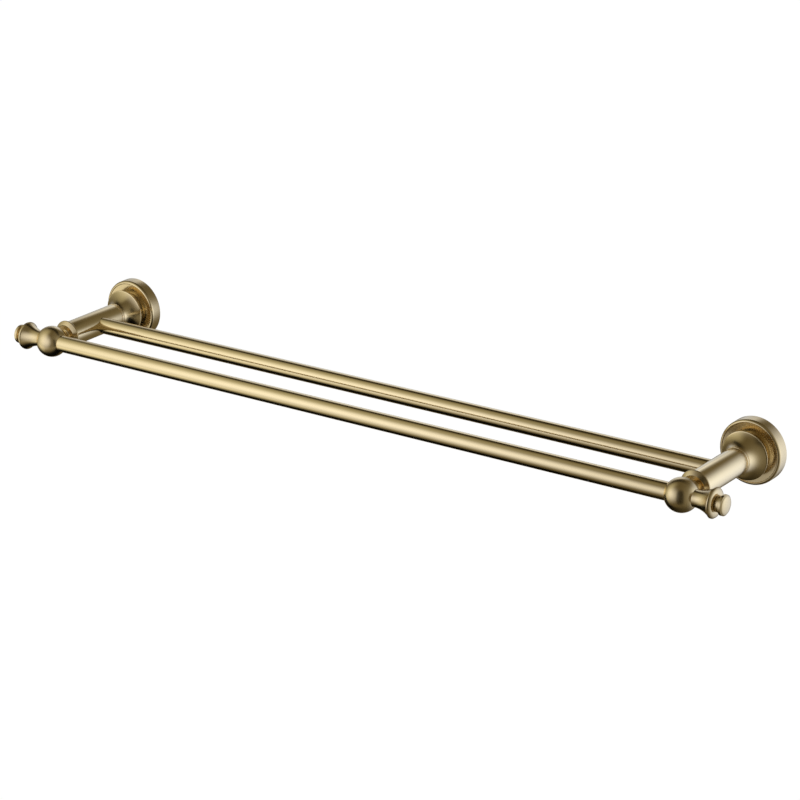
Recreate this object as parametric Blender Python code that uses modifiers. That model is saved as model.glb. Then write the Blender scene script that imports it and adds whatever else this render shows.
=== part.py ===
"""Wall-mounted double towel rack: two round bars between two turned posts with ball ends.

Metres, +Z up. X runs along the bars, the wall is the plane y = 0, and the rack stands out towards -Y.
The origin is on the wall, midway between the two posts. Every turned piece is an outline of
(radius, distance) pairs, where distance is measured along that piece's own axis.
"""

import math

import bmesh
import bpy
from mathutils import Matrix

# Driving dimensions
POST_SPACING = 0.700
REAR_BAR_OUT = 0.062
FRONT_BAR_OUT = 0.125
BAR_R = 0.0080
BAR_WALL = 0.0012
BALL_R = 0.0150
POST_R = 0.0122
POST_WALL = 0.0024
ROSE_R = 0.0296
ROSE_DEPTH = 0.0120
ROSE_WALL = 0.0039
BELL_RIM_R = 0.0218
BELL_RIM_OUT = 0.0203
BELL_BEND = (0.0142, 0.0257)
BEAD_R = 0.0124
BEAD_OUT = 0.0336
BEAD_WIDTH = 0.0024
LIP_R = 0.0145
LIP_OUT = 0.1034
LIP_CREASE = (0.0108, 0.1064)
NECK_R = 0.0054
FINIAL_NECK_R = 0.00745
FINIAL_RIM_R = 0.0134
FINIAL_END = 0.0342
BUTTON_R = 0.0091
BUTTON_NECK_R = 0.0072
BUTTON_END = 0.0433
GAP = 0.0003

# Fixings
PLATE_R = 0.0250
PLATE_DEPTH = 0.0045
SCREW_HOLE_R = 0.00225
SCREW_HOLE_UP = 0.0140
SINK_R = 0.0044
BOLT_R = 0.0040
BOLT_HEAD_R = 0.0065
BOLT_HEAD = (0.0049, 0.0076)
BOLT_END = 0.0480
BOLT_KEY_R = 0.0029
WASHER = (0.0079, 0.0089)
WASHER_R = 0.0082
STUD_R = 0.0030
GRUB_R = 0.0025
GRUB_OUT = 0.0032
GRUB_KEY_R = 0.0014
GRUB_LENGTH = 0.0038

# Where the pieces begin and end along the post, from the wall
FLOOR_IN = ROSE_DEPTH - 0.0028
FACE_OUT = ROSE_DEPTH - 0.0004
BELL_FOOT = FACE_OUT + GAP
TUBE_IN = BEAD_OUT + BEAD_WIDTH + GAP
TUBE_OUT = LIP_OUT - 0.0025
COLLAR_IN = TUBE_OUT + GAP
COLLAR_PLUG = 0.0085
INSERT_END = 0.0520
POST_STUD = (0.0880, 0.1192)
BALL_SEAT = FRONT_BAR_OUT - math.sqrt(BALL_R**2 - NECK_R**2)
STUD_HOLE_END = POST_STUD[1] + GAP

# Where they begin and end along the bars, from the post's axis
BAR_SOCKET = 0.0060
FINIAL_SOCKET = 0.0105
BAR_INSERT_LENGTH = 0.0155
FINIAL_STUD_IN = -0.0180
BUTTON_HOLE_END = 0.0405
REAR_BAR_IN = 0.0060

# Radii that run on each other
TUBE_BORE_R = POST_R - POST_WALL
BOLT_BORE_R = BOLT_R + GAP
STUD_BORE_R = STUD_R + GAP + 0.0001
BAR_BORE_R = BAR_R - BAR_WALL
BAR_SOCKET_R = BAR_R + GAP + 0.0001

# Facets round each kind of piece
ROUND_LARGE = 32
ROUND_MEDIUM = 24
ROUND_SMALL = 12
MERGE = 0.00001

BRONZE = ("satin_bronze", (0.56, 0.45, 0.29), 0.28)
BRASS = ("raw_brass", (0.72, 0.56, 0.25), 0.40)
STEEL = ("zinc_steel", (0.55, 0.55, 0.54), 0.38)

SIDES = {"left": -1, "right": 1}
TOWARDS_ROOM = Matrix.Rotation(math.radians(90), 4, "X")
DOWNWARDS = Matrix.Rotation(math.radians(180), 4, "X")


def along_x(sign):
    """Turns a piece's own Z axis to +X or -X."""
    return Matrix.Rotation(math.radians(90 * sign), 4, "Y")


def clear_scene():
    for old in list(bpy.data.objects):
        bpy.data.objects.remove(old)


def new_collection(name, hidden=False):
    collection = bpy.data.collections.new(name)
    bpy.context.scene.collection.children.link(collection)
    collection.hide_render = hidden
    return collection


def metal(name, finish):
    """A Principled metal for one sub-part."""
    kind, colour, roughness = finish
    material = bpy.data.materials.new(f"{name}_{kind}")
    material.use_nodes = True
    shader = material.node_tree.nodes["Principled BSDF"]
    shader.inputs["Base Color"].default_value = (*colour, 1.0)
    shader.inputs["Metallic"].default_value = 1.0
    shader.inputs["Roughness"].default_value = roughness
    return material


def axis_empty(name, collection, location, turn):
    """An empty whose own Z axis is the axis that a group of turned pieces shares."""
    empty = bpy.data.objects.new(name, None)
    empty.empty_display_size = 0.01
    empty.matrix_world = Matrix.Translation(location) @ turn
    collection.objects.link(empty)
    return empty


def turned(name, outline, steps, collection, parent=None, closed=True):
    """A solid of revolution about its own Z axis.

    The outline runs down the outer side. A closed one comes back up a bore; an open one starts and
    ends on the axis.
    """
    mesh = bpy.data.meshes.new(name)
    shape = bmesh.new()
    points = [shape.verts.new((radius, 0.0, height)) for radius, height in outline]
    for here, there in zip(points, points[1:]):
        shape.edges.new((here, there))
    if closed:
        shape.edges.new((points[-1], points[0]))
    shape.to_mesh(mesh)
    shape.free()
    obj = bpy.data.objects.new(name, mesh)
    collection.objects.link(obj)
    screw = obj.modifiers.new("Turn", "SCREW")
    screw.axis = "Z"
    screw.steps = steps
    screw.render_steps = steps
    screw.use_merge_vertices = True
    screw.merge_threshold = MERGE
    screw.use_smooth_shade = True
    if parent:
        obj.parent = parent
    return obj


def piece(name, outline, steps, model, finish, parent=None, closed=True):
    """A turned sub-part with its own material."""
    obj = turned(name, outline, steps, model["parts"], parent, closed)
    obj.data.materials.append(metal(name, finish))
    return obj


def ring(inner_r, outer_r, low, high):
    """Outline of a plain ring."""
    return [(inner_r, high), (outer_r, high), (outer_r, low), (inner_r, low)]


def rod(radius, low, high, chamfer=0.0005):
    """Outline of a solid rod with chamfered ends."""
    return [
        (0.0, high),
        (radius - chamfer, high),
        (radius, high - chamfer),
        (radius, low + chamfer),
        (radius - chamfer, low),
        (0.0, low),
    ]


def arc(centre, radii, first_deg, last_deg, count):
    """Points along part of an ellipse about (radius, height), angles from the radial direction."""
    angles = [math.radians(first_deg + (last_deg - first_deg) * i / (count - 1)) for i in range(count)]
    return [(centre[0] + radii[0] * math.cos(a), centre[1] + radii[1] * math.sin(a)) for a in angles]


def bend(start, middle, end, count):
    """Points along a curve that leaves start and meets end in the direction of the middle point."""
    points = []
    for i in range(count):
        t = i / (count - 1)
        shares = ((1 - t) ** 2, 2 * t * (1 - t), t**2)
        points.append(tuple(sum(w * p[k] for w, p in zip(shares, (start, middle, end))) for k in (0, 1)))
    return points


def cutter(name, outline, steps, model, matrix, closed=False):
    """A hidden turned solid that a Boolean takes away."""
    obj = turned(name, outline, steps, model["cutters"], closed=closed)
    obj.matrix_world = matrix
    obj.hide_render = True
    obj.display_type = "WIRE"
    return obj


def cut(obj, tool):
    boolean = obj.modifiers.new(tool.name, "BOOLEAN")
    boolean.operation = "DIFFERENCE"
    boolean.solver = "EXACT"
    boolean.object = tool


def drill(obj, name, radius, low, high, steps, model, matrix):
    """Takes a round hole from obj, between two distances along the hole's own axis."""
    outline = [(0.0, high), (radius, high), (radius, low), (0.0, low)]
    cut(obj, cutter(f"{obj.name}_{name}", outline, steps, model, matrix))


def wall_plate(side, post, model):
    """Disc that is screwed to the wall, with two countersunk holes one above the other."""
    chamfer = 0.0006
    outline = [
        (0.0, PLATE_DEPTH),
        (PLATE_R - chamfer, PLATE_DEPTH),
        (PLATE_R, PLATE_DEPTH - chamfer),
        (PLATE_R, 0.0),
        (0.0, 0.0),
    ]
    plate = piece(f"wall_plate_{side}", outline, ROUND_LARGE, model, STEEL, post, closed=False)
    sink_depth = SINK_R - SCREW_HOLE_R
    hole = [
        (0.0, PLATE_DEPTH + GAP),
        (SINK_R, PLATE_DEPTH + GAP),
        (SINK_R, PLATE_DEPTH),
        (SCREW_HOLE_R, PLATE_DEPTH - sink_depth),
        (SCREW_HOLE_R, -GAP),
        (0.0, -GAP),
    ]
    for place, up in (("upper", SCREW_HOLE_UP), ("lower", -SCREW_HOLE_UP)):
        matrix = post.matrix_world @ Matrix.Translation((0, up, 0))
        cut(plate, cutter(f"{plate.name}_{place}_hole", hole, ROUND_SMALL, model, matrix))


def rose(side, post, model):
    """Round cover over the wall plate: a cup with a rounded edge, a low rim and a hole for the bolt."""
    inner_r = ROSE_R - ROSE_WALL
    round_r, round_out = 0.0021, 0.0027
    outline = [
        (BOLT_BORE_R + 0.0001, FACE_OUT),
        (ROSE_R - 0.0029, FACE_OUT),
        (ROSE_R - 0.0026, ROSE_DEPTH),
        *arc((ROSE_R - round_r, ROSE_DEPTH - round_out), (round_r, round_out), 90, 0, 5),
        (ROSE_R, 0.0),
        (inner_r, 0.0),
        (inner_r, FLOOR_IN),
        (BOLT_BORE_R + 0.0001, FLOOR_IN),
    ]
    cover = piece(f"rose_{side}", outline, ROUND_LARGE, model, BRONZE, post)
    matrix = Matrix.Translation((post.location.x, -GRUB_OUT, 0)) @ DOWNWARDS
    drill(cover, "grub_hole", GRUB_R + GAP, PLATE_R - 0.002, ROSE_R + 0.002, ROUND_SMALL, model, matrix)
    return cover


def grub_screw(side, post, model):
    """Socket set screw through the underside of the rose, which grips the wall plate's edge."""
    start = PLATE_R + GAP
    axis = axis_empty(f"{side}_grub_axis", model["parts"], (post.location.x, -GRUB_OUT, 0), DOWNWARDS)
    outline = rod(GRUB_R, start, start + GRUB_LENGTH, 0.0004)
    screw = piece(f"rose_grub_screw_{side}", outline, ROUND_SMALL, model, STEEL, axis, closed=False)
    end = start + GRUB_LENGTH
    drill(screw, "key", GRUB_KEY_R, end - 0.0022, end + 0.001, 6, model, axis.matrix_world)


def bell(side, post, model):
    """Trumpet-shaped foot of the post, with a thin rim that overhangs a narrower neck."""
    throat = BEAD_OUT - GAP
    neck_r = BELL_RIM_R - 0.0049
    outline = [
        (BOLT_BORE_R + 0.0001, throat),
        *bend((BEAD_R, throat), BELL_BEND, (BELL_RIM_R - 0.0002, BELL_RIM_OUT), 9),
        *arc((BELL_RIM_R - 0.0002, BELL_RIM_OUT - 0.0007), (0.0005, 0.0006), 45, -45, 3),
        (BELL_RIM_R - 0.0022, BELL_RIM_OUT - 0.0017),
        (neck_r + 0.0008, BELL_RIM_OUT - 0.0033),
        (neck_r, BELL_RIM_OUT - 0.0056),
        (neck_r + 0.0004, BELL_FOOT),
        (BOLT_BORE_R + 0.0001, BELL_FOOT),
    ]
    piece(f"bell_{side}", outline, ROUND_LARGE, model, BRONZE, post)


def bead_ring(side, post, model):
    """Narrow ring with a groove round it, between the bell and the post tube."""
    groove = 0.0002
    middle = BEAD_OUT + BEAD_WIDTH / 2
    top = BEAD_OUT + BEAD_WIDTH
    outline = [
        (BOLT_BORE_R + 0.0001, top),
        (BEAD_R - groove, top),
        (BEAD_R, top - groove),
        (BEAD_R, middle + groove),
        (BEAD_R - groove, middle),
        (BEAD_R, middle - groove),
        (BEAD_R, BEAD_OUT),
        (BOLT_BORE_R + 0.0001, BEAD_OUT),
    ]
    piece(f"bead_ring_{side}", outline, ROUND_MEDIUM, model, BRONZE, post)


def post_tube(side, post, model):
    """Tube of the post, with a round socket in its inner side for the rear bar."""
    outline = ring(TUBE_BORE_R, POST_R, TUBE_IN, TUBE_OUT)
    tube = piece(f"post_tube_{side}", outline, ROUND_MEDIUM, model, BRONZE, post)
    matrix = Matrix.Translation((post.location.x, -REAR_BAR_OUT, 0)) @ along_x(-SIDES[side])
    low = REAR_BAR_IN - 0.002
    drill(tube, "bar_socket", BAR_SOCKET_R, low, POST_R + 0.004, ROUND_MEDIUM, model, matrix)


def lip_collar(side, post, model):
    """Head of the post: a bevelled lip with a flat face, a thin neck under the ball, a plug in the tube."""
    neck_end = BALL_SEAT - GAP
    crease_r, crease_out = LIP_CREASE
    cove_r = 0.0012
    outline = [
        (STUD_BORE_R, neck_end),
        (NECK_R, neck_end),
        *arc((NECK_R + cove_r, crease_out + cove_r - 0.0002), (cove_r, cove_r), 180, 270, 4),
        (crease_r - 0.0003, crease_out - 0.0002),
        (crease_r, crease_out),
        (LIP_R - 0.0007, LIP_OUT + 0.0005),
        (LIP_R, LIP_OUT - 0.0003),
        (LIP_R - 0.0004, LIP_OUT - 0.0010),
        (POST_R + 0.0014, COLLAR_IN + 0.0007),
        (POST_R + 0.0003, COLLAR_IN),
        (TUBE_BORE_R - GAP - 0.0001, COLLAR_IN),
        (TUBE_BORE_R - GAP - 0.0001, COLLAR_IN - COLLAR_PLUG),
        (STUD_BORE_R, COLLAR_IN - COLLAR_PLUG),
    ]
    piece(f"lip_collar_{side}", outline, ROUND_MEDIUM, model, BRONZE, post)


def ball(side, post, model):
    """Ball that carries the front bar: flat seat and blind hole at the back, sockets at both sides."""
    seat_deg = -math.degrees(math.asin((FRONT_BAR_OUT - BALL_SEAT) / BALL_R))
    outline = [
        *arc((0.0, FRONT_BAR_OUT), (BALL_R, BALL_R), 90, seat_deg, 13),
        (STUD_BORE_R, BALL_SEAT),
        (STUD_BORE_R, STUD_HOLE_END),
        (0.0, STUD_HOLE_END),
    ]
    outline[0] = (0.0, FRONT_BAR_OUT + BALL_R)
    sphere = piece(f"ball_{side}", outline, ROUND_MEDIUM, model, BRONZE, post, closed=False)
    centre = Matrix.Translation((post.location.x, -FRONT_BAR_OUT, 0))
    inward = centre @ along_x(-SIDES[side])
    outward = centre @ along_x(SIDES[side])
    past = BALL_R + 0.004
    drill(sphere, "bar_socket", BAR_SOCKET_R, BAR_SOCKET, past, ROUND_MEDIUM, model, inward)
    finial_socket_r = FINIAL_NECK_R + GAP + 0.0001
    drill(sphere, "finial_socket", finial_socket_r, FINIAL_SOCKET, past, ROUND_MEDIUM, model, outward)
    drill(sphere, "stud_bore", STUD_BORE_R, -past, past, ROUND_SMALL, model, outward)


def post_fixings(side, post, model):
    """Bolt, washer and threaded insert that clamp rose, bell and bead to the tube, and the front stud."""
    head_in, head_out = BOLT_HEAD
    chamfer = 0.0006
    outline = [
        (0.0, BOLT_END),
        (BOLT_R - chamfer, BOLT_END),
        (BOLT_R, BOLT_END - chamfer),
        (BOLT_R, head_out),
        (BOLT_HEAD_R, head_out),
        (BOLT_HEAD_R, head_in),
        (0.0, head_in),
    ]
    bolt = piece(f"post_bolt_{side}", outline, ROUND_SMALL, model, STEEL, post, closed=False)
    drill(bolt, "key", BOLT_KEY_R, head_in - 0.001, head_in + 0.0016, 6, model, post.matrix_world)
    washer = ring(BOLT_BORE_R + 0.0001, WASHER_R, *WASHER)
    piece(f"post_washer_{side}", washer, ROUND_MEDIUM, model, STEEL, post)
    insert = ring(BOLT_BORE_R, TUBE_BORE_R - GAP - 0.0001, TUBE_IN + GAP, INSERT_END)
    piece(f"post_insert_{side}", insert, ROUND_MEDIUM, model, BRASS, post)
    piece(f"post_stud_{side}", rod(STUD_R, *POST_STUD), ROUND_SMALL, model, STEEL, post, closed=False)


def finial(side, axis, model):
    """Trumpet on the outer side of the ball, opening to a thin rim with a domed end."""
    neck = FINIAL_NECK_R
    throat = 0.0140
    flare_end = FINIAL_END - 0.0042
    dome_r, dome_out = 0.0059, 0.0033
    flare = [
        (neck + (FINIAL_RIM_R - 0.0006 - neck) * t**2, throat + (flare_end - throat) * t)
        for t in (1.0, 0.93, 0.85, 0.75, 0.62, 0.45, 0.25)
    ]
    outline = [
        (STUD_BORE_R, FINIAL_END),
        *arc((FINIAL_RIM_R - dome_r, FINIAL_END - dome_out), (dome_r, dome_out), 90, -10, 7),
        *flare,
        (neck, throat),
        (neck, FINIAL_SOCKET + GAP),
        (STUD_BORE_R, FINIAL_SOCKET + GAP),
    ]
    piece(f"finial_{side}", outline, ROUND_MEDIUM, model, BRONZE, axis)


def button(side, axis, model):
    """Domed cap on a short neck, which screws down on the finial's end."""
    edge = BUTTON_END - 0.0018
    head_in = BUTTON_END - 0.0049
    outline = [
        *arc((0.0, edge), (BUTTON_R - 0.0004, BUTTON_END - edge), 90, 20, 5),
        (BUTTON_R, edge - 0.0003),
        (BUTTON_R, head_in + 0.0006),
        (BUTTON_R - 0.0006, head_in),
        (BUTTON_NECK_R, head_in),
        (BUTTON_NECK_R, FINIAL_END + GAP),
        (STUD_BORE_R, FINIAL_END + GAP),
        (STUD_BORE_R, BUTTON_HOLE_END),
        (0.0, BUTTON_HOLE_END),
    ]
    outline[0] = (0.0, BUTTON_END)
    piece(f"button_{side}", outline, ROUND_MEDIUM, model, BRONZE, axis, closed=False)


def bar_fixings(side, axis, model):
    """Threaded insert in the front bar's end, and the long stud through ball, finial and button."""
    stud = rod(STUD_R, FINIAL_STUD_IN, BUTTON_HOLE_END - GAP)
    piece(f"finial_stud_{side}", stud, ROUND_SMALL, model, STEEL, axis, closed=False)
    outer = -(BAR_SOCKET + 2 * GAP)
    insert = ring(STUD_BORE_R, BAR_BORE_R - GAP - 0.0001, outer - BAR_INSERT_LENGTH, outer)
    piece(f"front_bar_insert_{side}", insert, ROUND_MEDIUM, model, BRASS, axis)


def bar(name, out, end_inset, model):
    """Tube between the two posts."""
    half = POST_SPACING / 2 - end_inset
    axis = axis_empty(f"{name}_axis", model["parts"], (0, -out, 0), along_x(1))
    piece(name, ring(BAR_BORE_R, BAR_R, -half, half), ROUND_MEDIUM, model, BRONZE, axis)


def side_pieces(side, model):
    """Everything at one end of the rack."""
    across = SIDES[side] * POST_SPACING / 2
    post = axis_empty(f"{side}_post_axis", model["parts"], (across, 0, 0), TOWARDS_ROOM)
    end_axis = axis_empty(
        f"{side}_finial_axis", model["parts"], (across, -FRONT_BAR_OUT, 0), along_x(SIDES[side])
    )
    bpy.context.view_layer.update()
    for make in (wall_plate, rose, grub_screw, bell, bead_ring, post_tube, lip_collar, ball, post_fixings):
        make(side, post, model)
    for make in (finial, button, bar_fixings):
        make(side, end_axis, model)


def main():
    clear_scene()
    model = {"parts": new_collection("towel_rack"), "cutters": new_collection("cutters", hidden=True)}
    for side in SIDES:
        side_pieces(side, model)
    bar("front_bar", FRONT_BAR_OUT, BAR_SOCKET + GAP, model)
    bar("rear_bar", REAR_BAR_OUT, REAR_BAR_IN, model)


main()
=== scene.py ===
"""Looks of a wall-mounted double towel rack in satin bronze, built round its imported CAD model.

Every visible piece is turned again at full smoothness in the place that the CAD model gives it.
Outlines are (radius, distance, fillet) points in metres; distance runs along the piece's own axis:
from the wall for the post's pieces, and outwards from the post's axis for the finial's.
"""

import math

import bmesh
import bpy
from mathutils import Matrix, Vector


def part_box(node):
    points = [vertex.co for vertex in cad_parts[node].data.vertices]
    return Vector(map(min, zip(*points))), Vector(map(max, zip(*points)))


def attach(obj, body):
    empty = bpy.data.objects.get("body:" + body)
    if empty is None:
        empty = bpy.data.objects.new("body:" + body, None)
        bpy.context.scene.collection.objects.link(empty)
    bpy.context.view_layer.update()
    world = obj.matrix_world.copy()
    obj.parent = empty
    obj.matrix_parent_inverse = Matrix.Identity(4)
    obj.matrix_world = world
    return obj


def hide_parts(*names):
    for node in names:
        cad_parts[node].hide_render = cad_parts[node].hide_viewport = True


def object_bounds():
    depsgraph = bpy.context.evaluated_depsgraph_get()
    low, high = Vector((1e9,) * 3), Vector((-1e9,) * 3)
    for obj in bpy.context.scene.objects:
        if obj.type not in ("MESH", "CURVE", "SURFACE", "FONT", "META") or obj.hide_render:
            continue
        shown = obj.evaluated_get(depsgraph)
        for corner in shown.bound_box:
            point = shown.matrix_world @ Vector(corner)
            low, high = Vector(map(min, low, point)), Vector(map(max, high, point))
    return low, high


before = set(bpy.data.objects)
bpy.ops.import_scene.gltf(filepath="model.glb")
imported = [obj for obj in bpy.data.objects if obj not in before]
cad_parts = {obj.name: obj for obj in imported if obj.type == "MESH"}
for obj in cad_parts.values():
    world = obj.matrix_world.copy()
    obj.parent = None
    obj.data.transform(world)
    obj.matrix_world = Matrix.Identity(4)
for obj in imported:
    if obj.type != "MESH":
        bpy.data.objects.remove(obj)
cad_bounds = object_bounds()

MM = 0.001
SIDES = {"left": -1, "right": 1}
TOWARDS_ROOM = Matrix.Rotation(math.radians(90), 4, "X")
DOWNWARDS = Matrix.Rotation(math.radians(180), 4, "X")

# Facets round a piece, round a cut socket and round a small hole or thread, and along each fillet
FINE = 192
MEDIUM = 128
SMALL = 64
SOCKET_STEPS = 96
HOLE_STEPS = 48
FILLET_STEPS = 6
SHARP_DEG = 38

# Threads: rows of points in one turn, and how many pitches the thread takes to fade in at an end
ROWS_PER_TURN = 8
THREAD_FADE = 0.6

# Sizes that more than one piece shares
BOLT_BORE = 4.4 * MM
STUD_BORE = 3.4 * MM
GRUB_BORE = 2.8 * MM
TUBE_WALL = 2.4 * MM
SOCKET_GAP = 0.06 * MM

# Metal: how far the lathe lines wander round a piece, the coarse lines' share of the fine ones' scale,
# the scales of the clouding and of the rubbed patches, and the shares of clouds and lines in the colour
LINE_WANDER = 0.0004
COARSE_LINES = 0.23
CLOUD_SCALE = 42.0
RUBBED_SCALE = 260.0
CLOUD_SHARE = 0.7
LINE_SHARE = 0.3

# Camera, where someone looking at the whole rack stands: degrees and metres, with lens and sensor in mm
CAMERA_AZIMUTH = 36.347
CAMERA_ELEVATION = 20.381
CAMERA_ROLL = -1.018
CAMERA_DISTANCE = 2.515235
CAMERA_LENS = 124.404
SENSOR = 36.0
CAMERA_CENTRE = Vector((0, -0.060, 0))
CAMERA_SHIFT = (0.013538, -0.008193)

# Floor: how far it lies below the rack's lowest point, and how wide it is
FLOOR_DROP = 0.32
FLOOR_SIZE = 60.0


def centre_of(node):
    low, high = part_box(node)
    return (low + high) / 2


def along_x(sign):
    return Matrix.Rotation(math.radians(90 * sign), 4, "Y")


# ---------------------------------------------------------------- node helpers


class Nodes:
    """Short calls for building a node tree."""

    def __init__(self, tree):
        self.tree = tree
        tree.nodes.clear()

    def add(self, kind, values=(), **settings):
        """A node with its settings; values maps input names or numbers to values or sockets."""
        node = self.tree.nodes.new(kind)
        for key, value in settings.items():
            setattr(node, key, value)
        for key, value in dict(values).items():
            socket = node.inputs[key]
            if isinstance(value, bpy.types.NodeSocket):
                self.tree.links.new(value, socket)
            else:
                socket.default_value = value
        return node

    def math(self, operation, *inputs, clamp=False):
        node = self.add("ShaderNodeMath", dict(enumerate(inputs)), operation=operation, use_clamp=clamp)
        return node.outputs[0]

    def vector(self, operation, values):
        return self.add("ShaderNodeVectorMath", values, operation=operation).outputs["Vector"]


def new_material(name):
    """An empty node material, with the short calls that fill it."""
    material = bpy.data.materials.new(name)
    material.use_nodes = True
    return material, Nodes(material.node_tree)


def own_place(nodes):
    """The shaded point in its object's own coordinates: as one vector, and as x, y and z."""
    place = nodes.add("ShaderNodeTexCoord").outputs["Object"]
    return place, nodes.add("ShaderNodeSeparateXYZ", {0: place}).outputs


def mix_colours(nodes, factor, first, second):
    inputs = {"Factor": factor, "A": (*first, 1), "B": (*second, 1)}
    return nodes.add("ShaderNodeMix", inputs, data_type="RGBA", blend_type="MIX").outputs["Result"]


def scaled_noise(nodes, vector, scale, detail=2.0, roughness=0.5):
    inputs = {"Vector": vector, "Scale": scale, "Detail": detail, "Roughness": roughness}
    return nodes.add("ShaderNodeTexNoise", inputs).outputs["Fac"]


# ---------------------------------------------------------------- materials


def turned_metal(name, dark, light, roughness, spread, line_depth, line_scale):
    """Metal finished on a lathe: fine lines round the piece's own Z axis, soft clouding and rubbed patches.

    dark and light are the two ends of its colour, and spread is how far its roughness varies.
    """
    material, nodes = new_material(name)
    place, (x, y, z) = own_place(nodes)
    squared = nodes.math("ADD", nodes.math("MULTIPLY", x, x), nodes.math("MULTIPLY", y, y))
    radius = nodes.math("SQRT", squared)
    angle = nodes.math("ARCTAN2", y, x)
    wander = nodes.math("MULTIPLY", angle, LINE_WANDER)
    ring = nodes.add("ShaderNodeCombineXYZ", {0: radius, 1: z, 2: wander}).outputs[0]
    lines = scaled_noise(nodes, ring, line_scale, detail=4.0, roughness=0.7)
    coarse_lines = scaled_noise(nodes, ring, line_scale * COARSE_LINES)
    clouds = scaled_noise(nodes, place, CLOUD_SCALE, detail=3.0)
    rubbed = scaled_noise(nodes, place, RUBBED_SCALE, detail=5.0, roughness=0.62)

    line_tone = nodes.math("MULTIPLY", coarse_lines, LINE_SHARE)
    tone = nodes.math("MULTIPLY_ADD", clouds, CLOUD_SHARE, line_tone)
    colour = mix_colours(nodes, tone, dark, light)
    patch = nodes.math("SUBTRACT", rubbed, 0.5)
    streak = nodes.math("SUBTRACT", lines, 0.5)
    uneven = nodes.math("ADD", patch, streak)
    rough = nodes.math("MULTIPLY_ADD", uneven, spread, roughness, clamp=True)
    bump = nodes.add("ShaderNodeBump", {"Height": lines, "Strength": 1.0, "Distance": line_depth})
    shader = nodes.add("ShaderNodeBsdfPrincipled", {
        "Base Color": colour,
        "Metallic": 1.0,
        "Roughness": rough,
        "Normal": bump.outputs["Normal"],
    })
    nodes.add("ShaderNodeOutputMaterial", {"Surface": shader.outputs[0]})
    return material


def make_materials():
    return {
        "drawn_bronze": turned_metal("satin_bronze_drawn", (0.90, 0.745, 0.455), (0.95, 0.795, 0.500),
                                     0.150, 0.04, 0.0000007, 3600.0),
        "cast_bronze": turned_metal("satin_bronze_cast", (0.76, 0.620, 0.375), (0.82, 0.675, 0.415),
                                    0.205, 0.05, 0.0000007, 3000.0),
        "raw_brass": turned_metal("raw_brass", (0.66, 0.48, 0.20), (0.80, 0.62, 0.30),
                                  0.30, 0.10, 0.0000060, 2600.0),
        "zinc_steel": turned_metal("zinc_steel", (0.48, 0.49, 0.50), (0.66, 0.66, 0.64),
                                   0.34, 0.12, 0.0000060, 2400.0),
    }


# ---------------------------------------------------------------- turning


def arc(centre, radii, first_deg, last_deg, steps):
    """Points along part of an ellipse about (radius, distance), with no fillet of their own."""
    found = []
    for i in range(steps + 1):
        a = math.radians(first_deg + (last_deg - first_deg) * i / steps)
        found.append((centre[0] + radii[0] * math.cos(a), centre[1] + radii[1] * math.sin(a), 0.0))
    return found


def rounded(outline, closed):
    """The outline as plain (radius, distance) points, with its filleted corners made arcs."""
    points = []
    count = len(outline)
    for i, (r, h, fillet) in enumerate(outline):
        here = Vector((r, h))
        if fillet <= 0 or (not closed and i in (0, count - 1)):
            points.append(here)
            continue
        before = Vector(outline[i - 1][:2]) - here
        after = Vector(outline[(i + 1) % count][:2]) - here
        half = before.angle(after) / 2
        reach = min(fillet / math.tan(half), before.length * 0.49, after.length * 0.49)
        start = here + before.normalized() * reach
        end = here + after.normalized() * reach
        for k in range(FILLET_STEPS + 1):
            t = k / FILLET_STEPS
            points.append(start * (1 - t) ** 2 + here * 2 * t * (1 - t) + end * t * t)
    return points


def bend(start, middle, end, count):
    """Outline points along a curve that leaves start and meets end in the direction of the middle point."""
    points = []
    for i in range(count):
        t = i / (count - 1)
        shares = ((1 - t) ** 2, 2 * t * (1 - t), t**2)
        r, h = (sum(w * p[k] for w, p in zip(shares, (start, middle, end))) for k in (0, 1))
        points.append((r, h, 0))
    return points


def make_object(name, shape, matrix):
    """The bmesh as an object of the scene; the bmesh itself is freed."""
    mesh = bpy.data.meshes.new(name)
    shape.to_mesh(mesh)
    shape.free()
    obj = bpy.data.objects.new(name, mesh)
    bpy.context.scene.collection.objects.link(obj)
    obj.matrix_world = matrix
    return obj


def turn(name, outline, steps, matrix, closed=True):
    """A solid of revolution about the matrix's Z axis, with its origin on that axis."""
    points = rounded(outline, closed)
    shape = bmesh.new()
    made = [shape.verts.new((p.x, 0.0, p.y)) for p in points]
    pairs = list(zip(made, made[1:]))
    if closed:
        pairs.append((made[-1], made[0]))
    edges = [shape.edges.new(pair) for pair in pairs]
    bmesh.ops.spin(shape, geom=made + edges, axis=(0, 0, 1), cent=(0, 0, 0), angle=2 * math.pi, steps=steps)
    bmesh.ops.remove_doubles(shape, verts=shape.verts, dist=1e-7)
    bmesh.ops.dissolve_degenerate(shape, dist=1e-8, edges=shape.edges)
    bmesh.ops.recalc_face_normals(shape, faces=shape.faces)
    return make_object(name, shape, matrix)


def take_away(obj, tools):
    """Cuts the tools from obj for good, and removes them."""
    for tool in tools:
        boolean = obj.modifiers.new("Cut", "BOOLEAN")
        boolean.operation = "DIFFERENCE"
        boolean.solver = "EXACT"
        boolean.object = tool
    bpy.context.view_layer.update()
    graph = bpy.context.evaluated_depsgraph_get()
    cut = bpy.data.meshes.new_from_object(obj.evaluated_get(graph))
    obj.modifiers.clear()
    obj.data = cut
    for tool in tools:
        bpy.data.objects.remove(tool)


def cutter(name, radius, low, high, matrix, steps):
    """A plain rod along the matrix's Z axis, for cutting with."""
    outline = [(0.0, high, 0), (radius, high, 0), (radius, low, 0), (0.0, low, 0)]
    return turn(name, outline, steps, matrix, closed=False)


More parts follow.
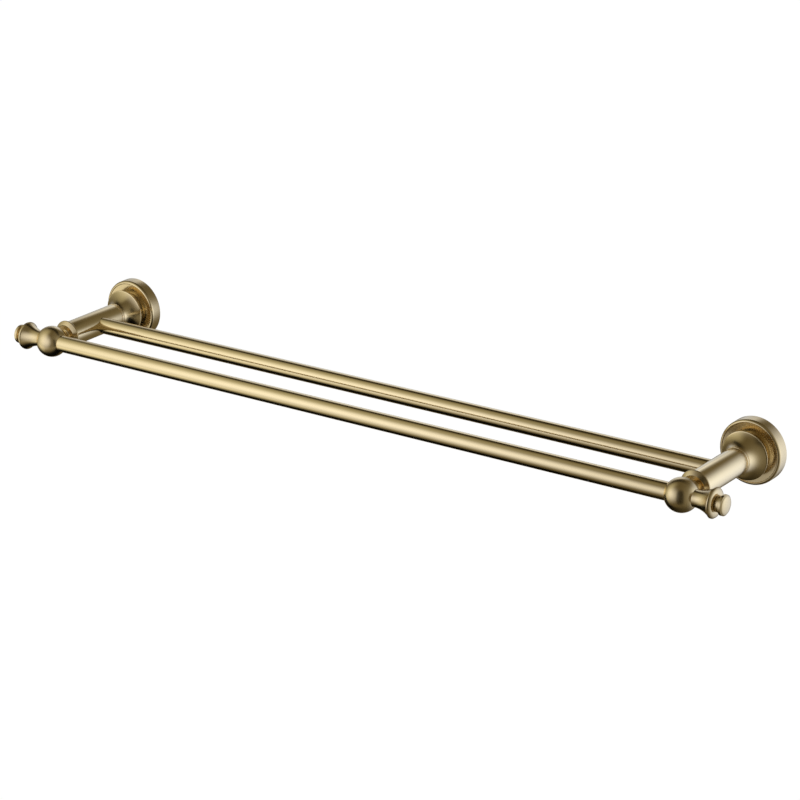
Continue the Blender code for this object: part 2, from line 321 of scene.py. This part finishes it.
def finish_piece(obj, node, body, finish, materials):
    """Smooth shading, material and body for a piece that stands for one CAD node."""
    obj.name = f"{node}_fine"
    obj.data.materials.clear()
    obj.data.materials.append(materials[finish])
    obj.data.shade_smooth()
    obj.data.set_sharp_from_angle(angle=math.radians(SHARP_DEG))
    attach(obj, body)
    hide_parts(node)
    return obj


def thread(name, radius, low, high, pitch, depth, matrix):
    """A threaded rod: its surface rises and falls along a helix, and fades out at both ends."""
    steps = HOLE_STEPS
    rows = int((high - low) / pitch * ROWS_PER_TURN)
    shape = bmesh.new()
    rings = []
    for j in range(rows + 1):
        h = low + (high - low) * j / rows
        fade = min(1.0, min(h - low, high - h) / (THREAD_FADE * pitch))
        ring = []
        for i in range(steps):
            a = 2 * math.pi * i / steps
            wave = abs(((h / pitch - i / steps) % 1.0) * 2 - 1)
            r = radius - depth * (1 - fade * wave)
            ring.append(shape.verts.new((r * math.cos(a), r * math.sin(a), h)))
        rings.append(ring)
    for lower, upper in zip(rings, rings[1:]):
        for i in range(steps):
            k = (i + 1) % steps
            shape.faces.new((lower[i], lower[k], upper[k], upper[i]))
    shape.faces.new(rings[-1])
    shape.faces.new(list(reversed(rings[0])))
    bmesh.ops.recalc_face_normals(shape, faces=shape.faces)
    return make_object(name, shape, matrix)


# ---------------------------------------------------------------- the post's pieces


def radius_of(node):
    low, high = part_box(node)
    return (high.z - low.z) / 2


def span(node):
    """(radius, near, far) of a turned piece on the post, near and far being distances from the wall."""
    low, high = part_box(node)
    return radius_of(node), -high.y, -low.y


def span_out(node, side):
    """(radius, near, far) of a turned piece on the finial's axis, counted outwards from the post's."""
    low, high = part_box(node)
    post_x = centre_of(f"post_tube_{side}").x
    near, far = sorted((x - post_x) * SIDES[side] for x in (low.x, high.x))
    return radius_of(node), near, far


def rose(side, post, materials):
    node = f"rose_{side}"
    radius, _, depth = span(node)
    face = depth - 0.4 * MM
    bore = BOLT_BORE
    inner = radius - 3.9 * MM
    floor = depth - 2.8 * MM
    outline = [
        (bore, face, 0),
        (radius - 3.05 * MM, face, 0.25 * MM),
        (radius - 2.55 * MM, depth, 0.25 * MM),
        *arc((radius - 2.1 * MM, depth - 2.7 * MM), (2.1 * MM, 2.7 * MM), 90, 0, 20),
        (radius, 0.0, 0.3 * MM),
        (inner, 0.0, 0.2 * MM),
        (inner, floor, 0.5 * MM),
        (bore, floor, 0),
    ]
    cover = turn(node, outline, FINE, post)
    grub = centre_of(f"rose_grub_screw_{side}")
    hole_axis = Matrix.Translation((grub.x, grub.y, 0)) @ DOWNWARDS
    take_away(cover, [cutter("hole", GRUB_BORE, inner - MM, radius + MM, hole_axis, HOLE_STEPS)])
    return finish_piece(cover, node, "rack", "cast_bronze", materials)


def bell(side, post, materials):
    node = f"bell_{side}"
    radius, foot, throat = span(node)
    throat_r = span(f"bead_ring_{side}")[0]
    rim = 20.5 * MM
    lip = 0.55 * MM
    neck = radius - 5.2 * MM
    bore = BOLT_BORE
    outline = [
        (bore, throat, 0),
        *bend((throat_r, throat), (14.2 * MM, 25.7 * MM), (radius - lip, rim), 40),
        *arc((radius - lip, rim - lip), (lip, lip), 90, -60, 10),
        (radius - 2.6 * MM, rim - 1.9 * MM, 1.5 * MM),
        (neck + 0.4 * MM, rim - 4.0 * MM, 1.5 * MM),
        (neck, rim - 6.5 * MM, 1.0 * MM),
        (neck + 0.3 * MM, foot, 0),
        (bore, foot, 0),
    ]
    obj = turn(node, outline, FINE, post)
    return finish_piece(obj, node, "rack", "cast_bronze", materials)


def bead_ring(side, post, materials):
    node = f"bead_ring_{side}"
    radius, near, far = span(node)
    tube_near = span(f"post_tube_{side}")[1]
    bore = BOLT_BORE
    middle = (near + far) / 2
    groove = 0.16 * MM
    outline = [
        (bore, tube_near, 0),
        (radius - 0.45 * MM, tube_near, 0),
        (radius - 0.45 * MM, far - 0.05 * MM, 0.05 * MM),
        (radius - 0.02 * MM, far - 0.10 * MM, 0.15 * MM),
        (radius, middle + groove, 0.1 * MM),
        (radius - groove, middle, 0.05 * MM),
        (radius, middle - groove, 0.1 * MM),
        (radius, near, 0.15 * MM),
        (radius - 0.4 * MM, near - 0.25 * MM, 0),
        (bore, near - 0.25 * MM, 0),
    ]
    obj = turn(node, outline, MEDIUM, post)
    return finish_piece(obj, node, "rack", "drawn_bronze", materials)


def post_tube(side, post, materials):
    node = f"post_tube_{side}"
    radius, near, far = span(node)
    bore = radius - TUBE_WALL
    edge = 0.15 * MM
    outline = [(bore, far, edge), (radius, far, edge), (radius, near, edge), (bore, near, edge)]
    tube = turn(node, outline, MEDIUM, post)
    bar = centre_of("rear_bar")
    socket = Matrix.Translation((centre_of(node).x, bar.y, bar.z)) @ along_x(-SIDES[side])
    socket_r = radius_of("rear_bar") + SOCKET_GAP
    take_away(tube, [cutter("socket", socket_r, 4 * MM, radius + 4 * MM, socket, SOCKET_STEPS)])
    return finish_piece(tube, node, "rack", "drawn_bronze", materials)


def lip_collar(side, post, materials):
    node = f"lip_collar_{side}"
    radius, near, far = span(node)
    tube_r, _, tube_far = span(f"post_tube_{side}")
    bore = STUD_BORE
    plug = tube_r - TUBE_WALL - 0.3 * MM
    neck = 5.4 * MM
    widest = tube_far + 2.5 * MM
    crease = 10.8 * MM
    crease_out = tube_far + 5.5 * MM
    outline = [
        (bore, far, 0),
        (neck, far, 0),
        (neck, crease_out - 0.2 * MM, 1.2 * MM),
        (crease - 0.4 * MM, crease_out - 0.2 * MM, 0.15 * MM),
        (crease, crease_out, 0.15 * MM),
        (radius - 0.25 * MM, widest + 0.2 * MM, 0.9 * MM),
        (radius - 0.05 * MM, widest - 0.5 * MM, 0.3 * MM),
        (radius - 0.3 * MM, widest - 1.1 * MM, 0.4 * MM),
        (tube_r + 0.9 * MM, tube_far + 0.5 * MM, 0.5 * MM),
        (tube_r - 0.3 * MM, tube_far + 0.05 * MM, 0),
        (plug, tube_far + 0.05 * MM, 0),
        (plug, near, 0.5 * MM),
        (bore, near, 0),
    ]
    obj = turn(node, outline, MEDIUM, post)
    return finish_piece(obj, node, "rack", "cast_bronze", materials)


def ball(side, post, materials):
    node = f"ball_{side}"
    radius, seat, far = span(node)
    out = far - radius
    hole_end = span(f"post_stud_{side}")[2] + 0.3 * MM
    seat_deg = -math.degrees(math.asin((out - seat) / radius))
    outline = [
        (0.0, out + radius, 0),
        *arc((0.0, out), (radius, radius), 87, seat_deg, 60),
        (STUD_BORE, seat, 0),
        (STUD_BORE, hole_end, 0),
        (0.0, hole_end, 0),
    ]
    sphere = turn(node, outline, MEDIUM, post, closed=False)
    centre = Matrix.Translation((centre_of(f"post_tube_{side}").x, -out, 0))
    inward = centre @ along_x(-SIDES[side])
    outward = centre @ along_x(SIDES[side])
    past = radius + 4 * MM
    bar_socket_r = radius_of("front_bar") + SOCKET_GAP
    take_away(sphere, [
        cutter("bar_socket", bar_socket_r, 6 * MM, past, inward, SOCKET_STEPS),
        cutter("finial_socket", 7.5 * MM, 10.5 * MM, past, outward, SOCKET_STEPS),
        cutter("stud_bore", STUD_BORE, -past, past, outward, HOLE_STEPS),
    ])
    return finish_piece(sphere, node, "rack", "cast_bronze", materials)


# ---------------------------------------------------------------- the finial's pieces


def finial(side, axis, materials):
    node = f"finial_{side}"
    radius, near, far = span_out(node, side)
    neck = 7.45 * MM
    bore = STUD_BORE
    throat = 14 * MM
    flare_end = far - 4.2 * MM
    dome_r = 5.9 * MM
    dome_out = 3.3 * MM
    flare = []
    steps = 28
    for i in range(steps, 0, -1):
        t = i / steps
        flare.append((neck + (radius - 0.6 * MM - neck) * t**2, throat + (flare_end - throat) * t, 0))
    outline = [
        (bore, far, 0),
        *arc((radius - dome_r, far - dome_out), (dome_r, dome_out), 90, -10, 40),
        *flare,
        (neck, throat - 0.4 * MM, 0),
        (neck, near, 0.2 * MM),
        (bore, near, 0),
    ]
    obj = turn(node, outline, MEDIUM, axis)
    return finish_piece(obj, node, f"finial_{side}", "cast_bronze", materials)


def button(side, axis, materials):
    node = f"button_{side}"
    radius, near, far = span_out(node, side)
    neck = 7.2 * MM
    bore = STUD_BORE
    bore_end = far - 2.8 * MM
    head = far - 4.9 * MM
    crown = far - 1.7 * MM
    outline = [
        (0.0, far, 0),
        *arc((0.0, crown - 0.2 * MM), (radius - 0.7 * MM, far - crown + 0.2 * MM), 87, 14, 18),
        (radius - 0.55 * MM, crown - 0.1 * MM, 0.1 * MM),
        (radius, crown - 0.5 * MM, 0.35 * MM),
        (radius, head + 0.1 * MM, 0.55 * MM),
        (radius - 1.3 * MM, head, 0.3 * MM),
        (neck, head + 0.2 * MM, 0.3 * MM),
        (neck, near, 0.3 * MM),
        (bore, near, 0),
        (bore, bore_end, 0),
        (0.0, bore_end, 0),
    ]
    obj = turn(node, outline, MEDIUM, axis, closed=False)
    return finish_piece(obj, node, f"cap_{side}", "cast_bronze", materials)


# ---------------------------------------------------------------- bars and fixings


def bar(name, materials):
    low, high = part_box(name)
    radius = radius_of(name)
    half = (high.x - low.x) / 2
    bore = radius - 1.2 * MM
    axis = Matrix.Translation(centre_of(name)) @ along_x(1)
    edge = 0.25 * MM
    outline = [(bore, half, 0), (radius, half, edge), (radius, -half, edge), (bore, -half, 0)]
    obj = turn(name, outline, MEDIUM, axis)
    return finish_piece(obj, name, "rack", "drawn_bronze", materials)


def wall_plate(side, post, materials):
    node = f"wall_plate_{side}"
    radius, _, depth = span(node)
    outline = [
        (0.0, depth, 0),
        (radius, depth, 0.6 * MM),
        (radius, 0.0, 0.2 * MM),
        (0.0, 0.0, 0),
    ]
    plate = turn(node, outline, FINE, post, closed=False)
    hole_r = 2.25 * MM
    hole = [
        (0.0, depth + MM, 0),
        (5.4 * MM, depth + MM, 0),
        (hole_r, depth - 2.15 * MM, 0),
        (hole_r, -MM, 0),
        (0.0, -MM, 0),
    ]
    tools = []
    for up in (14 * MM, -14 * MM):
        tools.append(turn("hole", hole, SMALL, post @ Matrix.Translation((0, up, 0)), closed=False))
    take_away(plate, tools)
    return finish_piece(plate, node, "wall_side", "zinc_steel", materials)


def hex_key(radius, low, high, matrix):
    """A cutter for a hexagon socket, radius being half its width from corner to corner."""
    return cutter("key", radius, low, high, matrix, 6)


def grub_screw(side, materials):
    node = f"rose_grub_screw_{side}"
    low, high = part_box(node)
    middle = centre_of(node)
    axis = Matrix.Translation((middle.x, middle.y, 0)) @ DOWNWARDS
    near, far = -high.z, -low.z
    radius = (high.y - low.y) / 2
    screw = thread(node, radius, near, far, 0.8 * MM, 0.35 * MM, axis)
    take_away(screw, [hex_key(1.4 * MM, far - 2.2 * MM, far + MM, axis)])
    return finish_piece(screw, node, f"grub_screw_{side}", "zinc_steel", materials)


def post_bolt(side, post, materials):
    node = f"post_bolt_{side}"
    head_r, near, far = span(node)
    shank = 3.7 * MM
    head = near + 2.7 * MM
    outline = [
        (0.0, far, 0),
        (shank, far, 0.2 * MM),
        (shank, head, 0.3 * MM),
        (head_r, head, 0.2 * MM),
        (head_r, near, 0.4 * MM),
        (0.0, near, 0),
    ]
    bolt = turn(node, outline, SMALL, post, closed=False)
    take_away(bolt, [hex_key(2.9 * MM, near - MM, near + 1.6 * MM, post)])
    return finish_piece(bolt, node, "rack", "zinc_steel", materials)


def plain_ring(node, axis, extent, bore, finish, materials):
    """A washer or a threaded insert; extent is its radius, near end and far end."""
    radius, near, far = extent
    edge = 0.2 * MM
    outline = [(bore, far, edge), (radius, far, edge), (radius, near, edge), (bore, near, edge)]
    obj = turn(node, outline, SMALL, axis)
    return finish_piece(obj, node, "rack", finish, materials)


def stud(node, axis, extent, body, materials):
    radius, near, far = extent
    rod = thread(node, radius, near, far, MM, 0.45 * MM, axis)
    return finish_piece(rod, node, body, "zinc_steel", materials)


def hidden_fixings(side, post, axis, materials):
    post_bolt(side, post, materials)
    node = f"post_washer_{side}"
    plain_ring(node, post, span(node), BOLT_BORE, "zinc_steel", materials)
    node = f"post_insert_{side}"
    plain_ring(node, post, span(node), 4.3 * MM, "raw_brass", materials)
    node = f"post_stud_{side}"
    _, near, far = span(node)
    stud(node, post, (3.0 * MM, near, far), "rack", materials)
    node = f"front_bar_insert_{side}"
    plain_ring(node, axis, span_out(node, side), STUD_BORE, "raw_brass", materials)
    node = f"finial_stud_{side}"
    stud(node, axis, span_out(node, side), f"cap_{side}", materials)


def side_pieces(side, materials):
    post_x = centre_of(f"post_tube_{side}").x
    ball_y = centre_of("front_bar").y
    post = Matrix.Translation((post_x, 0, 0)) @ TOWARDS_ROOM
    axis = Matrix.Translation((post_x, ball_y, 0)) @ along_x(SIDES[side])
    for make in (rose, bell, bead_ring, post_tube, lip_collar, ball, wall_plate):
        make(side, post, materials)
    for make in (finial, button):
        make(side, axis, materials)
    grub_screw(side, materials)
    hidden_fixings(side, post, axis, materials)


# ---------------------------------------------------------------- studio


def direction(azimuth, elevation):
    """Unit vector; azimuth 0 is in front of the rack (-Y) and 90 is +X."""
    a, e = math.radians(azimuth), math.radians(elevation)
    return Vector((math.sin(a) * math.cos(e), -math.cos(a) * math.cos(e), math.sin(e)))


RACK_MIDDLE = (0.0, -0.06, 0.0)
# Soft boxes: centre, the point each looks at, spread across and up in metres, strength, colour
SOFT_BOXES = [
    ("key", (-0.42, -0.95, 0.17), RACK_MIDDLE, (0.76, 0.66), 0.87, (0.97, 1.01, 1.13)),
    ("left", (-0.81, -0.42, 0.18), RACK_MIDDLE, (0.55, 1.32), 0.40, (1.02, 1.01, 0.78)),
    ("low_front", (-0.80, -0.46, -0.23), (-0.80, -0.46, 0), (0.60, 0.14), 0.32, (1.02, 0.97, 0.80)),
    ("back_right", (0.60, 0.41, -0.12), RACK_MIDDLE, (0.48, 0.45), 0.80, (0.90, 1.01, 1.30)),
    ("right", (1.07, 0.28, 0.05), RACK_MIDDLE, (0.45, 0.55), 0.40, (0.95, 1.00, 1.10)),
    ("back_left_high", (-2.00, 3.58, 2.15), RACK_MIDDLE, (1.35, 0.72), 0.70, (0.97, 1.03, 1.18)),
    ("back_left_low", (-2.50, 3.30, 0.55), RACK_MIDDLE, (1.50, 1.15), 0.66, (0.92, 1.03, 1.25)),
]
# Half a soft box's size in spreads: its light has faded to nothing there
BOX_REACH = 2.6
# Room light: a dim glow from everywhere, and a brighter wall to the right of the rack
# (azimuth, elevation and angle at half strength in degrees, strength, colour)
AMBIENT = (0.115, 0.090, 0.042)
RIGHT_WALL = (95, 0, 42, 0.20, (1.00, 1.00, 0.88))
# Black cards with soft edges: centre, the way each faces, half width and half height, opacity
CARDS = [
    ("under", (-0.25, -0.11, -0.28), (0, 0, 1), (0.95, 0.24), 1.0),
    ("front_right", (0.52, -0.58, 0.05), (-0.40, 0.90, 0), (0.30, 0.75), 0.72),
    ("above", (-0.50, 0.29, 0.75), (0, -0.35, -1), (1.30, 0.25), 0.85),
]
# A card is solid up to this share of its half size, and thins out from there
CARD_CORE = 0.35


def lobe(nodes, towards, azimuth, elevation, half_angle):
    """A round spot in the sky: 1 in its middle, a half at half_angle, and fading smoothly to nothing."""
    axis = direction(azimuth, elevation)
    sharpness = math.log(2) / (1 - math.cos(math.radians(half_angle)))
    dot = nodes.add("ShaderNodeVectorMath", {0: towards, 1: tuple(axis)}, operation="DOT_PRODUCT")
    power = nodes.math("MULTIPLY_ADD", dot.outputs["Value"], sharpness, -sharpness)
    return nodes.math("EXPONENT", power)


def make_world():
    """Room light in reflections and on surfaces, and plain white where the camera sees past the floor."""
    world = bpy.data.worlds.new("studio")
    world.use_nodes = True
    bpy.context.scene.world = world
    nodes = Nodes(world.node_tree)
    towards = nodes.add("ShaderNodeTexCoord").outputs["Generated"]
    azimuth, elevation, half_angle, strength, colour = RIGHT_WALL
    spot = lobe(nodes, towards, azimuth, elevation, half_angle)
    light = nodes.vector("SCALE", {0: tuple(strength * c for c in colour), "Scale": spot})
    total = nodes.vector("ADD", {0: AMBIENT, 1: light})
    studio = nodes.add("ShaderNodeBackground", {"Color": total, "Strength": 1.0})
    backdrop = nodes.add("ShaderNodeBackground", {"Color": (1, 1, 1, 1), "Strength": 1.0})
    seen = nodes.add("ShaderNodeLightPath").outputs["Is Camera Ray"]
    mix = nodes.add("ShaderNodeMixShader", {0: seen, 1: studio.outputs[0], 2: backdrop.outputs[0]})
    nodes.add("ShaderNodeOutputWorld", {"Surface": mix.outputs[0]})


def stage_plane(name, half_width, half_height, centre, facing, material):
    """A flat piece of the studio, which only reflections see."""
    mesh = bpy.data.meshes.new(name)
    corners = [(-half_width, -half_height, 0), (half_width, -half_height, 0),
               (half_width, half_height, 0), (-half_width, half_height, 0)]
    mesh.from_pydata(corners, [], [(0, 1, 2, 3)])
    mesh.materials.append(material)
    plane = bpy.data.objects.new(name, mesh)
    bpy.context.scene.collection.objects.link(plane)
    turned = Vector(facing).to_track_quat("Z", "Y").to_matrix().to_4x4()
    plane.matrix_world = Matrix.Translation(centre) @ turned
    plane.visible_camera = False
    plane.visible_diffuse = False
    return plane


def soft_box(name, centre, target, spread, strength, colour):
    """A light that is brightest in its middle and fades out smoothly, and that lets light through."""
    material, nodes = new_material(f"light_{name}")
    _, (x, y, _) = own_place(nodes)
    across = nodes.math("DIVIDE", x, spread[0])
    up = nodes.math("DIVIDE", y, spread[1])
    squares = nodes.math("MULTIPLY_ADD", across, across, nodes.math("MULTIPLY", up, up))
    fade = nodes.math("EXPONENT", nodes.math("MULTIPLY", squares, -1.0))
    behind = nodes.add("ShaderNodeNewGeometry").outputs["Backfacing"]
    front = nodes.math("SUBTRACT", 1.0, behind)
    power = nodes.math("MULTIPLY", nodes.math("MULTIPLY", fade, front), strength)
    glow = nodes.add("ShaderNodeEmission", {"Color": (*colour, 1), "Strength": power})
    clear = nodes.add("ShaderNodeBsdfTransparent")
    both = nodes.add("ShaderNodeAddShader", {0: glow.outputs[0], 1: clear.outputs[0]})
    nodes.add("ShaderNodeOutputMaterial", {"Surface": both.outputs[0]})
    half_width, half_height = (BOX_REACH * size for size in spread)
    facing = Vector(target) - Vector(centre)
    stage_plane(f"soft_box_{name}", half_width, half_height, centre, facing, material)


def black_card(name, centre, facing, half_size, opacity):
    """A dark card, solid in its middle and clear at its edges."""
    material, nodes = new_material(f"card_{name}")
    _, (x, y, _) = own_place(nodes)
    solid = opacity
    for place, half in zip((x, y), half_size):
        away = nodes.math("DIVIDE", nodes.math("ABSOLUTE", place), half)
        fade = {"Value": away, "From Min": 1.0, "From Max": CARD_CORE, "To Min": 0.0, "To Max": 1.0}
        edge = nodes.add("ShaderNodeMapRange", fade, interpolation_type="SMOOTHSTEP")
        solid = nodes.math("MULTIPLY", edge.outputs["Result"], solid)
    clear = nodes.add("ShaderNodeBsdfTransparent")
    black = nodes.add("ShaderNodeBsdfDiffuse", {"Color": (0.01, 0.01, 0.01, 1)})
    mix = nodes.add("ShaderNodeMixShader", {0: solid, 1: clear.outputs[0], 2: black.outputs[0]})
    nodes.add("ShaderNodeOutputMaterial", {"Surface": mix.outputs[0]})
    stage_plane(f"black_card_{name}", *half_size, centre, facing, material)


def make_floor():
    """Pale floor well below the rack, left out of the metal's reflections."""
    shape = bmesh.new()
    bmesh.ops.create_grid(shape, x_segments=1, y_segments=1, size=FLOOR_SIZE / 2)
    floor = make_object("floor", shape, Matrix.Translation((0, 0, cad_bounds[0].z - FLOOR_DROP)))
    material, nodes = new_material("pale_floor")
    diffuse = nodes.add("ShaderNodeBsdfDiffuse", {"Color": (0.10, 0.10, 0.10, 1)})
    glow = nodes.add("ShaderNodeEmission", {"Color": (1, 1, 1, 1), "Strength": 1.0})
    both = nodes.add("ShaderNodeAddShader", {0: diffuse.outputs[0], 1: glow.outputs[0]})
    nodes.add("ShaderNodeOutputMaterial", {"Surface": both.outputs[0]})
    floor.data.materials.append(material)
    floor.visible_glossy = False
    floor.visible_diffuse = False


def make_camera():
    back = direction(CAMERA_AZIMUTH, CAMERA_ELEVATION)
    right = Vector((0, 0, 1)).cross(back).normalized()
    up = back.cross(right)
    level = Matrix((right, up, back)).transposed().to_4x4()
    turned = level @ Matrix.Rotation(math.radians(CAMERA_ROLL), 4, "Z")
    across, upwards = turned.col[0].to_3d(), turned.col[1].to_3d()
    target = CAMERA_CENTRE + across * CAMERA_SHIFT[0] + upwards * CAMERA_SHIFT[1]
    data = bpy.data.cameras.new("camera")
    data.lens = CAMERA_LENS
    data.sensor_width = SENSOR
    data.clip_start = 0.05
    data.clip_end = 200
    camera = bpy.data.objects.new("camera", data)
    bpy.context.scene.collection.objects.link(camera)
    turned.translation = target + back * CAMERA_DISTANCE
    camera.matrix_world = turned
    bpy.context.scene.camera = camera


def main():
    bpy.context.scene.view_settings.view_transform = "Standard"
    make_camera()
    materials = make_materials()
    for side in SIDES:
        side_pieces(side, materials)
    bar("front_bar", materials)
    bar("rear_bar", materials)
    make_world()
    for box in SOFT_BOXES:
        soft_box(*box)
    for card in CARDS:
        black_card(*card)
    make_floor()


main()
